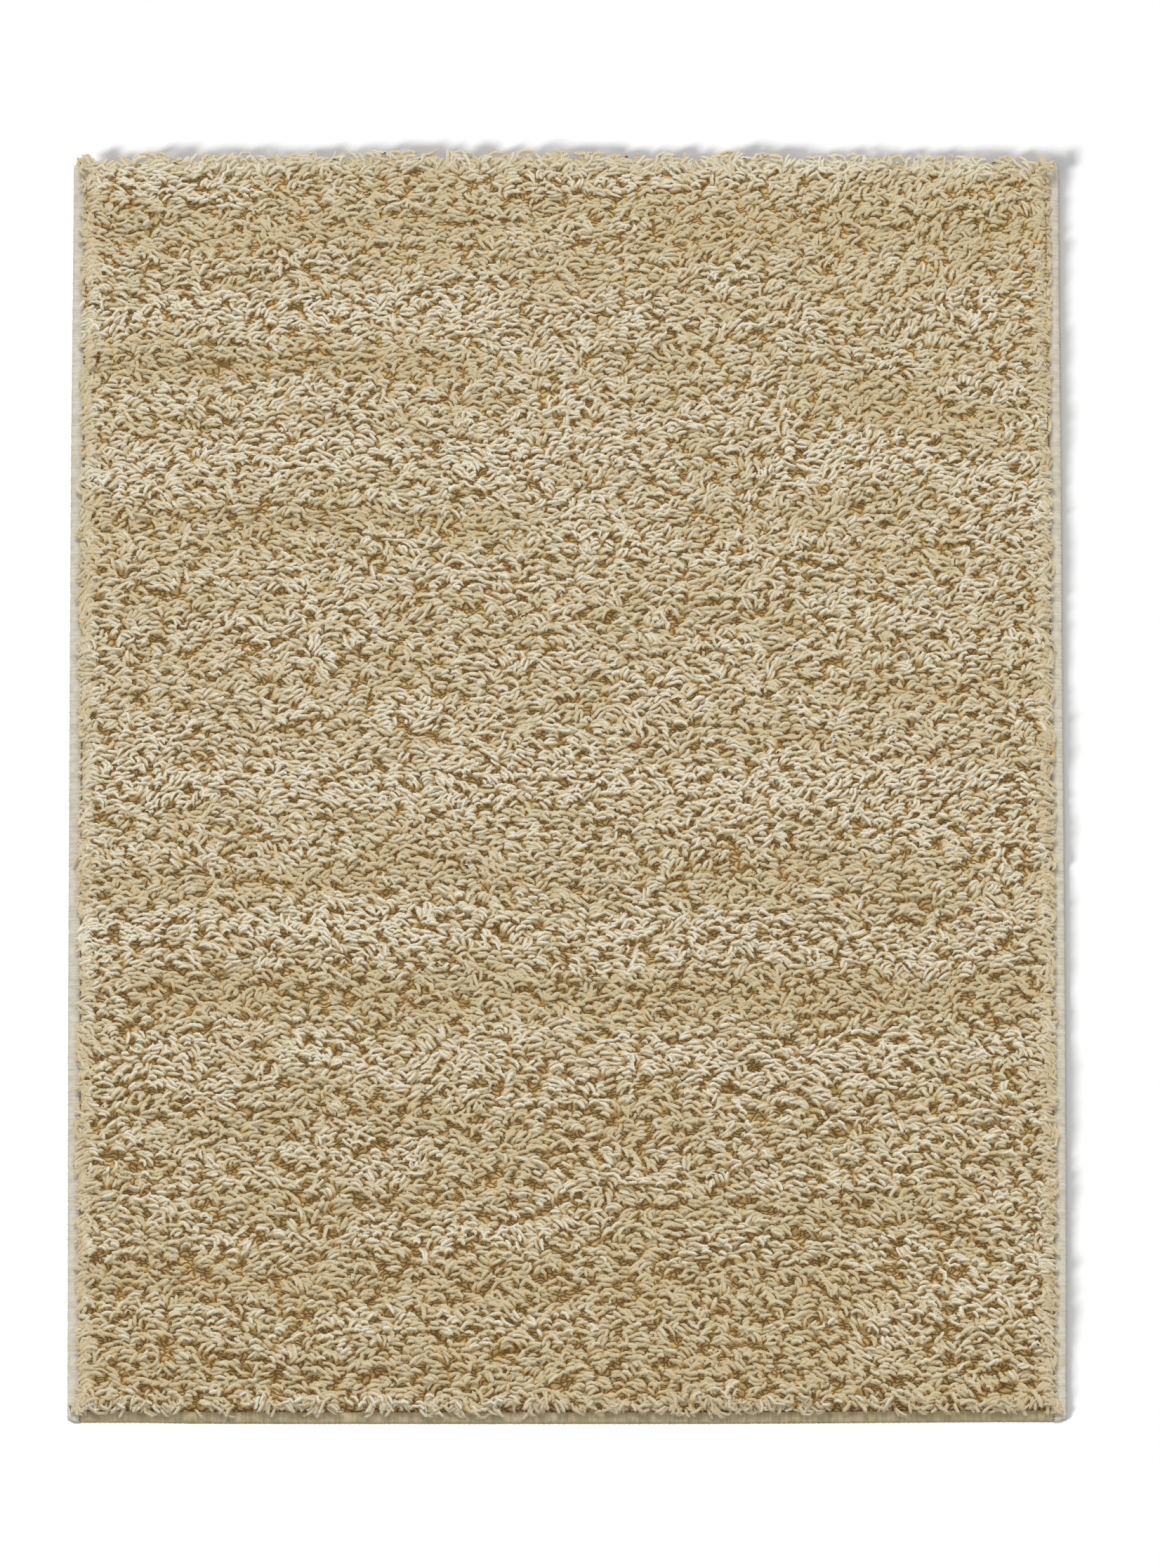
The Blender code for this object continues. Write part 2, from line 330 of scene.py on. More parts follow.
BANDS = (
    Band(x=-0.49, y=0.805, half_length=0.14, half_width=0.022, rise=0.8),
    Band(x=-0.36, y=0.750, half_length=0.24, half_width=0.022, rise=-0.5),
    Band(x=0.36, y=0.755, half_length=0.26, half_width=0.032, rise=-0.9),
    Band(x=-0.36, y=0.630, half_length=0.28, half_width=0.028, rise=0.8),
    Band(x=-0.36, y=0.557, half_length=0.26, half_width=0.018, rise=-0.9),
    Band(x=0.30, y=0.545, half_length=0.18, half_width=0.024, rise=-0.5),
    Band(x=0.42, y=0.500, half_length=0.14, half_width=0.020, rise=-0.6),
    Band(x=-0.30, y=0.435, half_length=0.26, half_width=0.030, rise=0.5),
    Band(x=0.37, y=0.430, half_length=0.12, half_width=0.022, rise=0.8),
    Band(x=-0.34, y=0.350, half_length=0.24, half_width=0.015, rise=-1.2),
    Band(x=0.07, y=0.330, half_length=0.07, half_width=0.018, rise=0.7),
    Band(x=0.15, y=0.220, half_length=0.14, half_width=0.026, rise=-0.5),
    Band(x=0.45, y=0.115, half_length=0.14, half_width=0.018, rise=-0.5),
    Band(x=0.00, y=0.000, half_length=0.56, half_width=0.030, rise=0.5),
    Band(x=-0.10, y=-0.125, half_length=0.60, half_width=0.026, rise=-0.4),
    Band(x=0.22, y=-0.135, half_length=0.08, half_width=0.030, rise=-0.6),
    Band(x=-0.38, y=-0.198, half_length=0.22, half_width=0.020, rise=0.9),
    Band(x=0.20, y=-0.205, half_length=0.36, half_width=0.020, rise=0.3),
    Band(x=0.02, y=-0.290, half_length=0.54, half_width=0.026, rise=-1.2),
    Band(x=0.00, y=-0.370, half_length=0.56, half_width=0.026, rise=0.4),
    Band(x=-0.15, y=-0.455, half_length=0.34, half_width=0.022, rise=-0.4),
    Band(x=-0.28, y=-0.570, half_length=0.14, half_width=0.018, rise=-0.5),
    Band(x=0.28, y=-0.565, half_length=0.14, half_width=0.022, rise=-0.6),
    Band(x=-0.10, y=-0.672, half_length=0.50, half_width=0.024, rise=-1.1),
    Band(x=0.00, y=-0.790, half_length=0.60, half_width=0.045, rise=-0.5),
)
BAND_END = 0.05


def bands_at(places):
    """How much the rug's soft waves raise or part the yarn at each place."""
    x = places[:, 0]
    y = places[:, 1] + layered(places, BAND_WANDER)
    total = np.zeros(len(places))
    for band in BANDS:
        inside = smooth((band.half_length - np.abs(x - band.x)) / BAND_END + 0.5)
        total += band.rise * inside * np.exp(-((y - band.y) / band.half_width) ** 2)
    return total


def patches_at(places):
    """From -1 to 1: where the yarn lies high, painted pale, or has parted in streaks, painted
    darker.
    """
    return layered(places, PATCHES)


def in_gap(places, level):
    """Whether each place is in one of the small gaps between the locks, where no strand shows."""
    return layered(places, GAPS) > level


# ---------------------------------------------------------------------------------------------
# Materials


class Finish:
    """A node material on one Principled shader."""

    def __init__(self, name, roughness, sheen=0.0, specular=0.3):
        self.material = bpy.data.materials.new(name)
        self.material.use_nodes = True
        self.tree = self.material.node_tree
        self.shader = self.tree.nodes["Principled BSDF"]
        self.shader.inputs["Roughness"].default_value = roughness
        self.shader.inputs["Specular IOR Level"].default_value = specular
        self.shader.inputs["Sheen Weight"].default_value = sheen
        self.shader.inputs["Sheen Roughness"].default_value = 0.5

    def add(self, kind, inputs=(), **settings):
        """Adds a node. An input is a number or another node's output."""
        node = self.tree.nodes.new("ShaderNode" + kind)
        for name, value in settings.items():
            setattr(node, name, value)
        for key, value in dict(inputs).items():
            if isinstance(value, bpy.types.NodeSocket):
                self.tree.links.new(value, node.inputs[key])
            else:
                node.inputs[key].default_value = value
        return node

    def math(self, operation, *values):
        return self.add("Math", enumerate(values), operation=operation).outputs[0]

    def mix(self, share, first, second, blend="MIX"):
        inputs = {0: share, 6: first, 7: second}
        return self.add("Mix", inputs, data_type="RGBA", blend_type=blend).outputs[2]

    def ramp(self, share, stops):
        node = self.add("ValToRGB", {"Fac": share})
        elements = node.color_ramp.elements
        while len(elements) < len(stops):
            elements.new(0.5)
        for element, (place, color) in zip(elements, stops):
            element.position = place
            element.color = (*color, 1.0)
        return node.outputs["Color"]

    def rising(self, value, low, high):
        """0 where the value is below low, up to 1 where it is above high."""
        return self.add("MapRange", {0: value, 1: low, 2: high}).outputs[0]

    def colored(self, color):
        self.tree.links.new(color, self.shader.inputs["Base Color"])

    def bumped(self, height, strength, distance):
        inputs = {"Height": height, "Strength": strength, "Distance": distance}
        node = self.add("Bump", inputs)
        self.tree.links.new(node.outputs["Normal"], self.shader.inputs["Normal"])


# Yarn colours, painted light and shade. Root, deep, low and side colours are painted shade, for the
# shade deep in the pile and on each strand's lower sides. The tops run from ochre, painted shade
# for strands that stand low, to pale cream, painted light for the highest.
YARN_ROOT_SHADE = (0.440, 0.268, 0.092)
YARN_DEEP_ROOT_SHADE = (0.330, 0.232, 0.104)
YARN_LOW_SHADE = (0.560, 0.430, 0.220)
YARN_SIDE_SHADE = (0.575, 0.485, 0.305)
YARN_OCHRE = (0.490, 0.395, 0.230)
YARN_TOP = (0.620, 0.600, 0.485)
YARN_PALE = (0.800, 0.820, 0.760)
YARN_TOPS = ((0.0, YARN_OCHRE), (0.35, YARN_SIDE_SHADE), (0.65, YARN_TOP), (1.0, YARN_PALE))
YARN_TURNS = 8.0
YARN_GROOVE_SHADE = 0.05

# Times a shade's number, the part after the point is spread over 0 to 1 in no order.
SCATTERED = 0.618

MATTING_YARNS = (105.0, 190.0, 0.0)
MATTING_BEND = (0.02, 0.02, 0.0)
# Painted shade: the lower yarn is painted ochre to dark brown, darkest along the creases between
# its yarns, for the shade deep in the pile.
MATTING_PAINTED_SHADES = (
    (0.04, (0.188, 0.098, 0.028)),
    (0.16, (0.425, 0.275, 0.100)),
    (0.40, (0.665, 0.500, 0.244)),
)

SERGING_DARK = (0.45, 0.41, 0.32)
SERGING_PALE = (0.57, 0.54, 0.45)
SERGING_PITCH = 0.0016
# Painted shade in part: the binding's tan is darker than the serging, partly its own colour and
# partly the shade on its front face.
WEBBING_DARK = (0.32, 0.26, 0.14)
WEBBING_PALE = (0.46, 0.38, 0.23)
WEBBING_PITCH = 0.0020
THREAD_LENGTH = 20.0


def yarn_finish():
    """Twisted yarn, with painted shade in ochre at root and sides, and painted cream light on top.

    It is read from the strands' own map: a column for each shade, and root to tip upwards.
    """
    made = Finish("pile_yarn_strand", roughness=0.7, sheen=0.3)
    place = made.add("UVMap", uv_map="OFBake")
    parts = made.add("SeparateXYZ", {"Vector": place.outputs["UV"]})
    column = made.math("MULTIPLY", parts.outputs["X"], float(SHADES))
    painted_shade = made.math("FLOOR", column)
    around = made.math("FRACT", column)
    along = parts.outputs["Y"]
    # Painted shade at the root, ochre or deeper brown by the shade's number, and above it the
    # painted shade of the lower part and sides.
    odd = made.math("FRACT", made.math("MULTIPLY", painted_shade, SCATTERED))
    root = made.mix(odd, (*YARN_ROOT_SHADE, 1.0), (*YARN_DEEP_ROOT_SHADE, 1.0))
    upper = made.ramp(along, [(0.35, YARN_LOW_SHADE), (0.55, YARN_SIDE_SHADE)])
    side = made.mix(made.rising(along, 0.20, 0.35), root, upper)
    top = made.ramp(made.math("DIVIDE", painted_shade, SHADES - 1.0), YARN_TOPS)
    # Painted light: where the strand lies, the ridge that points up gets the top's tone, and its
    # lower sides keep the painted shade.
    from_top = made.math("ABSOLUTE", made.math("MULTIPLY_ADD", around, 2.0, -1.0))
    painted_top_light = made.rising(from_top, 0.50, 1.00)
    lying = made.rising(along, 0.28, 0.52)
    painted_light_and_shade = made.mix(made.math("MULTIPLY", painted_top_light, lying), side, top)
    # The twist's grooves get a little painted shade, as well as a bump.
    turns = made.math("MULTIPLY_ADD", along, YARN_TURNS, around)
    twist = made.math("SINE", made.math("MULTIPLY", turns, 2.0 * math.pi))
    painted_groove_shade = made.math("MULTIPLY_ADD", twist, YARN_GROOVE_SHADE, 1.0 - YARN_GROOVE_SHADE)
    made.colored(made.mix(1.0, painted_light_and_shade, painted_groove_shade, "MULTIPLY"))
    made.bumped(twist, 0.3, 0.0004)
    return made.material


def matting_finish():
    """The lower yarn seen in the gaps: painted ochre and brown, as the shade deep in the pile."""
    made = Finish("pile_yarn_matting", roughness=0.9)
    place = made.add("TexCoord").outputs["Object"]
    bent = made.add("TexNoise", {"Vector": place, "Scale": 60.0, "Detail": 1.0})
    inputs = {0: bent.outputs["Color"], 1: MATTING_BEND, 2: place}
    moved = made.add("VectorMath", inputs, operation="MULTIPLY_ADD")
    scaled = made.add("Mapping", {"Vector": moved.outputs[0], "Scale": MATTING_YARNS})
    inputs = {"Vector": scaled.outputs["Vector"], "Scale": 1.0}
    yarns = made.add("TexVoronoi", inputs, feature="DISTANCE_TO_EDGE", voronoi_dimensions="2D")
    made.colored(made.ramp(yarns.outputs["Distance"], MATTING_PAINTED_SHADES))
    made.bumped(yarns.outputs["Distance"], 1.0, 0.004)
    return made.material


def thread_finish(name, dark, pale, along, pitch):
    """Stitches side by side along an edge, with uneven colour from stitch to stitch."""
    made = Finish(name, roughness=0.8, sheen=0.05)
    place = made.add("TexCoord").outputs["Object"]
    scale = [1.0 / (THREAD_LENGTH * pitch)] * 3
    scale[along] = 1.0 / pitch
    stretched = made.add("Mapping", {"Vector": place, "Scale": scale}).outputs["Vector"]
    stitches = made.add("TexNoise", {"Vector": stretched, "Scale": 0.6, "Detail": 2.0})
    blotches = made.add("TexNoise", {"Vector": place, "Scale": 110.0, "Detail": 2.0})
    share = made.math("ADD", stitches.outputs["Fac"], blotches.outputs["Fac"])
    made.colored(made.ramp(made.math("MULTIPLY", share, 0.5), [(0.38, dark), (0.60, pale)]))
    made.bumped(stitches.outputs["Fac"], 0.5, 0.0006)
    return made.material


# ---------------------------------------------------------------------------------------------
# Meshes


def new_piece(name, verts, corners, sides, material, uvs=None):
    """A smooth closed mesh that rides with the rug.

    corners lists the faces' corners one face after the other, and sides how many each face has.
    """
    mesh = bpy.data.meshes.new(name)
    mesh.vertices.add(len(verts))
    mesh.vertices.foreach_set("co", np.asarray(verts, np.float32).ravel())
    mesh.loops.add(len(corners))
    mesh.loops.foreach_set("vertex_index", np.asarray(corners, np.int32))
    mesh.polygons.add(len(sides))
    starts = np.cumsum(sides) - sides
    mesh.polygons.foreach_set("loop_start", starts.astype(np.int32))
    mesh.update(calc_edges=True)
    mesh.shade_smooth()
    if uvs is not None:
        layer = mesh.uv_layers.new(name="OFBake")
        layer.data.foreach_set("uv", np.asarray(uvs, np.float32).ravel())
    mesh.materials.append(material)
    obj = bpy.data.objects.new(name, mesh)
    bpy.context.scene.collection.objects.link(obj)
    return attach(obj, "root")


def listed(faces):
    """A list of faces as new_piece takes them: all corners, and each face's number of sides."""
    sides = np.array([len(face) for face in faces])
    return np.concatenate([np.array(face) for face in faces]), sides


def rim_of_grid(columns, rows):
    """Indices of a grid's rim points, once round counterclockwise."""
    step = rows + 1
    front = [i * step for i in range(columns)]
    right = [columns * step + j for j in range(rows)]
    back = [i * step + rows for i in range(columns, 0, -1)]
    left = list(range(rows, 0, -1))
    return front + right + back + left


def make_matting():
    """The sheet of matted lower yarn: the CAD pile's form, lower, with a flat underside."""
    columns, rows = np.round(2 * PILE_HALF / MATTING_STEP).astype(int)
    xs = np.linspace(-PILE_HALF[0], PILE_HALF[0], columns + 1)
    ys = np.linspace(-PILE_HALF[1], PILE_HALF[1], rows + 1)
    grid = np.stack(np.meshgrid(xs, ys, indexing="ij"), axis=-1).reshape(-1, 2)
    heights = top_at(grid) - MATTING_DEPTH - FRONT_DEPTH * frontness_at(grid)
    heights += layered(grid, MATTING_LUMPS)
    heights -= MATTING_RIM_DROP * (1 - smooth(rim_distance(grid) / MATTING_RIM))
    heights = np.maximum(heights, LEAST_MATTING)
    places = laid(grid)
    rim = rim_of_grid(columns, rows)
    ground = np.column_stack([places[rim], np.zeros(len(rim))])
    verts = np.concatenate([np.column_stack([places, heights]), ground, np.zeros((1, 3))])
    i, j = np.meshgrid(np.arange(columns), np.arange(rows), indexing="ij")
    here = (i * (rows + 1) + j).ravel()
    quads = np.column_stack([here, here + rows + 1, here + rows + 2, here + 1]).tolist()
    first = len(places)
    count = len(rim)
    walls = [
        (rim[n], first + n, first + (n + 1) % count, rim[(n + 1) % count]) for n in range(count)
    ]
    underside = [(first + (n + 1) % count, first + n, first + count) for n in range(count)]
    corners, sides = listed(quads + walls + underside)
    piece = new_piece("pile_matting", verts, corners, sides, matting_finish())
    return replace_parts(piece, "pile")


# ---------------------------------------------------------------------------------------------
# Edging and binding


class EdgePoint(NamedTuple):
    """A point of an edge's cross-section: how far out from the pile, and how high."""

    out: float
    height: float


EDGE_SECTION = (
    EdgePoint(0.0004, 0.0003),
    EdgePoint(0.0130, 0.0003),
    EdgePoint(0.0148, 0.0019),
    EdgePoint(0.0149, 0.0045),
    EdgePoint(0.0132, 0.0064),
    EdgePoint(0.0080, 0.0069),
    EdgePoint(0.0020, 0.0067),
    EdgePoint(0.0004, 0.0050),
)

# About how far the section reaches from its middle, and how uneven the ridges are.
SECTION_RADIUS = 0.004
RIDGE_ERROR = 0.35


class Strip(NamedTuple):
    """An edging or binding, which faces the way along the axis, and the CAD node it replaces.

    Its ridges are pitch apart and stand out by relief. corner is its corners' radius, or 0.
    """

    name: str
    node: str
    slot: str
    axis: int
    way: float
    reach: float
    pitch: float
    relief: float
    corner: float


STRIPS = (
    Strip("edging_left_serging", "edging_left", "edging_thread", axis=0, way=-1.0,
          reach=HALF_LENGTH, pitch=0.0020, relief=0.00022, corner=CORNER_RADIUS),
    Strip("edging_right_serging", "edging_right", "edging_thread", axis=0, way=1.0,
          reach=HALF_LENGTH, pitch=0.0020, relief=0.00022, corner=CORNER_RADIUS),
    Strip("binding_front_webbing", "binding_front", "binding_cloth", axis=1, way=-1.0,
          reach=PILE_HALF[0], pitch=0.0030, relief=0.00012, corner=0.0),
    Strip("binding_back_webbing", "binding_back", "binding_cloth", axis=1, way=1.0,
          reach=PILE_HALF[0], pitch=0.0030, relief=0.00012, corner=0.0),
)


def make_strip(strip, material):
    """A strip of stitches along one edge: ridges and grooves across it, rounded at the corners."""
    rows = round(2 * strip.reach / strip.pitch)
    along = np.linspace(-strip.reach, strip.reach, rows + 1)
    section = np.array(EDGE_SECTION)
    middle = section.mean(axis=0)
    rng = np.random.default_rng(SEED + len(strip.name))
    swell = np.where(np.arange(rows + 1) % 2 == 0, strip.relief, -strip.relief)
    swell = swell + rng.normal(0.0, RIDGE_ERROR * strip.relief, rows + 1)
    ring = middle + (section - middle) * (1 + swell[:, None, None] / SECTION_RADIUS)
    ring[:, :, 1] = np.maximum(ring[:, :, 1], 0.0)
    if strip.corner:
        near = np.clip(strip.corner - (strip.reach - np.abs(along)), 0.0, strip.corner)
        cut = strip.corner - np.sqrt(strip.corner**2 - near**2)
        ring[:, :, 0] *= (1 - cut / EDGE_WIDTH)[:, None]
    inner = (HALF_WIDTH, HALF_LENGTH)[strip.axis] - EDGE_WIDTH
    places = np.zeros((rows + 1, len(section), 2))
    places[:, :, strip.axis] = strip.way * (inner + ring[:, :, 0])
    places[:, :, 1 - strip.axis] = along[:, None]
    flat = laid(places.reshape(-1, 2))
    verts = np.column_stack([flat, ring[:, :, 1].ravel()])
    count = len(section)
    quads = []
    for row in range(rows):
        for n in range(count):
            after = (n + 1) % count
            here, there = row * count, (row + 1) * count
            quads.append((here + n, there + n, there + after, here + after))
    caps = [tuple(range(count)), tuple(range(rows * count + count - 1, rows * count - 1, -1))]
    faces = quads + caps
    if (strip.way > 0) != (strip.axis == 0):
        faces = [tuple(face)[::-1] for face in faces]
    corners, sides = listed(faces)
    piece = new_piece(strip.name, verts, corners, sides, material)
    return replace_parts(piece, strip.node)


# ---------------------------------------------------------------------------------------------
# Strands


class LayPlace(NamedTuple):
    """Which way the yarn lies around one place: degrees from the rug's width."""

    x: float
    y: float
    turn: float


LAY = (
    LayPlace(x=-0.45, y=0.70, turn=6),
    LayPlace(x=0.00, y=0.70, turn=10),
    LayPlace(x=0.45, y=0.70, turn=24),
    LayPlace(x=0.45, y=0.40, turn=18),
    LayPlace(x=-0.45, y=0.30, turn=2),
    LayPlace(x=0.00, y=0.20, turn=4),
    LayPlace(x=0.45, y=0.00, turn=10),
    LayPlace(x=-0.45, y=-0.20, turn=-2),
    LayPlace(x=0.00, y=-0.35, turn=-3),
    LayPlace(x=0.45, y=-0.45, turn=-4),
    LayPlace(x=-0.45, y=-0.70, turn=2),
    LayPlace(x=0.45, y=-0.75, turn=-14),
)
LAY_SPREAD = 0.25
LAY_SHARE = 1.25
LEAST_WEIGHT = 1e-6


def main_lay(places):
    """The angle that most yarn near each place lies at."""
    angles = np.zeros(len(places))
    weights = np.full(len(places), LEAST_WEIGHT)
    for spot in LAY:
        near = np.exp(-((places - (spot.x, spot.y)) ** 2).sum(axis=1) / LAY_SPREAD**2)
        angles += near * math.radians(spot.turn)
        weights += near
    return angles / weights


def headings_at(places):
    """The directions in which the yarn falls at each place: its main lay, with swirls."""
    angle = main_lay(places)
    main = np.column_stack([np.cos(angle), np.sin(angle)])
    swirls = np.column_stack([layered(places, SWIRLS_ACROSS), layered(places, SWIRLS_ALONG)])
    return LAY_SHARE * main + swirls


class Rim(NamedTuple):
    """How the yarn falls over one rim of the pile.

    pull is how strongly it turns outwards and lift how little its tips go down. reach is how far
    past the rim the outermost tufts stand. least and most say how far past it a strand may end,
    and the heights are the highest that it lies at the rim and above the strip's outer side.
    """

    axis: int
    way: float
    pull: float
    lift: float
    reach: float
    least: float
    most: float
    rim_height: float
    strip_height: float


RIMS = (
    Rim(axis=0, way=-1.0, pull=0.7, lift=0.0, reach=0.0035, least=0.0020, most=0.0115,
        rim_height=0.0160, strip_height=0.0090),
    Rim(axis=0, way=1.0, pull=0.7, lift=0.0, reach=0.0030, least=0.0010, most=0.0080,
        rim_height=0.0135, strip_height=0.0095),
    Rim(axis=1, way=-1.0, pull=1.0, lift=0.0, reach=0.005, least=0.0050, most=0.0155,
        rim_height=0.0180, strip_height=0.0085),
    Rim(axis=1, way=1.0, pull=0.6, lift=0.6, reach=0.0125, least=0.0160, most=0.0185,
        rim_height=0.0310, strip_height=0.0270),
)
RIM_BAND = 0.022

# The yarn goes down from a little inside a rim. Past it, it rests on the strip or the floor.
DRAPE_START = -0.016
DRAPE_ERROR = 0.0012
REST_HEIGHT = 0.0004
REST_MARGIN = 0.001
REST_SHARE = 0.9

# At the four corners the yarn fans out over the long edges too, and stays higher at the back.
CORNER_BAND = 0.004
CORNER_ROOTS = 0.006
CORNER_REACH = 0.010
CORNER_SLACK = 0.002
CORNER_HEIGHTS = (FULL_HEIGHT, 0.0260, 0.0170)


class StrandPoint(NamedTuple):
    """A point of the usual strand: how far forward it is, and its height from the pile's top.

    width, and spread, which is its distance from the tuft's middle, are shares of the usual ones.
    """

    forward: float
    height: float
    width: float
    spread: float


STRAND = (
    StrandPoint(forward=0.0000, height=-0.0110, width=0.85, spread=0.60),
    StrandPoint(forward=0.0036, height=-0.0022, width=1.00, spread=0.90),
    StrandPoint(forward=0.0100, height=-0.0001, width=1.00, spread=1.00),
    StrandPoint(forward=0.0160, height=-0.0036, width=0.90, spread=0.95),
    StrandPoint(forward=0.0200, height=-0.0100, width=0.00, spread=0.80),
)


def rim_places(rim, rng):
    """Places of the further tufts that close the pile along one rim."""
    length = PILE_HALF[1 - rim.axis]
    along = np.repeat(np.arange(-length - CORNER_REACH, length + CORNER_REACH, FRINGE_SPACING), 2)
    along = along + rng.normal(0.0, FRINGE_SCATTER * FRINGE_SPACING, len(along))
    out = rng.uniform(*INNER_ROW, len(along))
    out[::2] = rim.reach * rng.uniform(*OUTER_ROW_SHARE, len(out[::2]))
    places = np.empty((len(along), 2))
    beyond = CORNER_REACH if rim.axis == 1 else FRINGE_END
    places[:, 1 - rim.axis] = np.clip(along, -length - beyond, length + beyond)
    places[:, rim.axis] = rim.way * (PILE_HALF[rim.axis] + out)
    return places


def tuft_places(rng):
    """Tuft roots on a staggered grid over the whole pile, a little out of place."""
    rows = np.arange(-PILE_HALF[1] + ROW_INSETS[0], PILE_HALF[1] - ROW_INSETS[1], ROW_SPACING)
    places = []
    for number, y in enumerate(rows):
        first = -PILE_HALF[0] + TUFT_INSETS[0] + TUFT_SPACING / 2 * (number % 2)
        xs = np.arange(first, PILE_HALF[0] - TUFT_INSETS[1], TUFT_SPACING)
        places.append(np.column_stack([xs, np.full(len(xs), y)]))
    places = np.concatenate(places)
    places += rng.normal(0.0, TUFT_SCATTER * TUFT_SPACING, places.shape)
    places = np.clip(places, -PILE_HALF + ROOT_INSET, PILE_HALF - ROOT_INSET)
    return np.concatenate([places, *(rim_places(rim, rng) for rim in RIMS)])


def unit(vectors):
    return vectors / np.maximum(np.linalg.norm(vectors, axis=-1, keepdims=True), 1e-9)


def nearness(rim, places):
    """0 well inside the pile, and 1 on this rim."""
    return smooth(1.0 - (PILE_HALF[rim.axis] - places[:, rim.axis] * rim.way) / RIM_BAND)


def rim_pulled(places, headings):
    """Turns the yarn outwards along the rims."""
    for rim in RIMS:
        headings[:, rim.axis] += rim.way * rim.pull * nearness(rim, places)
    return headings


def drape(centres, radii, rng):
    """Keeps strands from reaching too far past a rim, and lowers them onto the edge strips."""
    count = len(centres)
    at_corner = np.abs(centres[:, CREST, 1]) > PILE_HALF[1] - CORNER_BAND
    at_back = at_corner & (centres[:, CREST, 1] > 0.0)
    for rim in RIMS:
        limit = PILE_HALF[rim.axis] + rng.uniform(rim.least, rim.most, count)
        if rim.axis == 0:
            limit = np.where(at_corner, PILE_HALF[0] + CORNER_REACH + CORNER_SLACK, limit)
        out = centres[:, :, rim.axis] * rim.way
        over = np.maximum(out.max(axis=1) - limit, 0.0)
        centres[:, :, rim.axis] -= rim.way * over[:, None]
    ceiling = np.full(centres.shape[:2], FULL_HEIGHT)
    stations = (DRAPE_START, 0.0, EDGE_WIDTH)
    for rim in RIMS:
        out = centres[:, :, rim.axis] * rim.way - PILE_HALF[rim.axis]
        highest = np.interp(out, stations, (FULL_HEIGHT, rim.rim_height, rim.strip_height))
        if rim.axis == 0:
            highest[at_back] = np.interp(out[at_back], stations, CORNER_HEIGHTS)
        ceiling = np.minimum(ceiling, highest)
    ceiling += rng.normal(0.0, DRAPE_ERROR, (count, 1))
    out = (np.abs(centres[:, :, :2]) - PILE_HALF).max(axis=2)
    height = np.minimum(centres[:, :, 2], ceiling)
    resting = np.where(out > -REST_MARGIN, EDGE_HEIGHT, 0.0)
    resting = np.where(out > EDGE_WIDTH - REST_MARGIN, REST_HEIGHT, resting)
    centres[:, :, 2] = np.maximum(height, resting + REST_SHARE * radii)


class Growth(NamedTuple):
    """How each strand grows, as arrays with a value for each strand.

    angle is the way that it falls. It curves by arc, and by hook near its tip. side is how far it
    stands beside its tuft's middle, and closing how much that changes along it. top is its
    crest's height, and stretch is its length as a share of the usual one.
    """

    angle: np.ndarray
    arc: np.ndarray
    hook: np.ndarray
    side: np.ndarray
    closing: np.ndarray
    top: np.ndarray
    stretch: np.ndarray
    thickness: np.ndarray


def draw_growth(tufts, tuft, rng):
    """Draws how each strand grows. tuft has the number of each strand's tuft."""
    count = len(tuft)
    slot = np.tile(np.arange(STRANDS_PER_TUFT) - (STRANDS_PER_TUFT - 1) / 2, len(tufts))
    turn = np.where(rng.random(len(tufts)) < TURNED_SHARE, -1.0, 1.0)
    headings = unit(rim_pulled(tufts, headings_at(tufts) * turn[:, None]))[tuft]
    angle = np.arctan2(headings[:, 1], headings[:, 0])
    angle += rng.normal(0.0, TUFT_TURN, len(tufts))[tuft]
    angle += rng.normal(0.0, STRAND_TURN, count)
    angle += math.pi * (rng.random(count) < BACKWARD_SHARE)
    arc = rng.normal(0.0, TUFT_ARC, len(tufts))[tuft]
    arc += rng.normal(0.0, STRAND_ARC, count)
    hook = rng.normal(0.0, STRAND_HOOK, count)

    pitch = rng.uniform(*PITCH, len(tufts))[tuft]
    side = slot * pitch + rng.normal(0.0, PITCH_ERROR, count)
    crown = CROWN * (0.5 + frontness_at(tufts)[tuft]) * rng.uniform(*CROWN_SPREAD, count)
    top = top_at(tufts)[tuft] - crown * slot**2
    top += rng.normal(0.0, TUFT_RISE, len(tufts))[tuft] + rng.normal(0.0, STRAND_RISE, count)
    top += (PATCH_RISE * patches_at(tufts) + layered(tufts, TUFT_LUMPS))[tuft]
    top += BAND_RISE * bands_at(tufts)[tuft]
    stretch = rng.uniform(*STRETCH, count)
    closing = rng.uniform(*CLOSING, len(tufts))[tuft]
    narrowing = 1.0 - OUTER_THINNER * np.abs(slot)
    thickness = STRAND_RADIUS * rng.uniform(*THICKNESS, count) * narrowing
    return Growth(angle, arc, hook, side, closing, top, stretch, thickness)


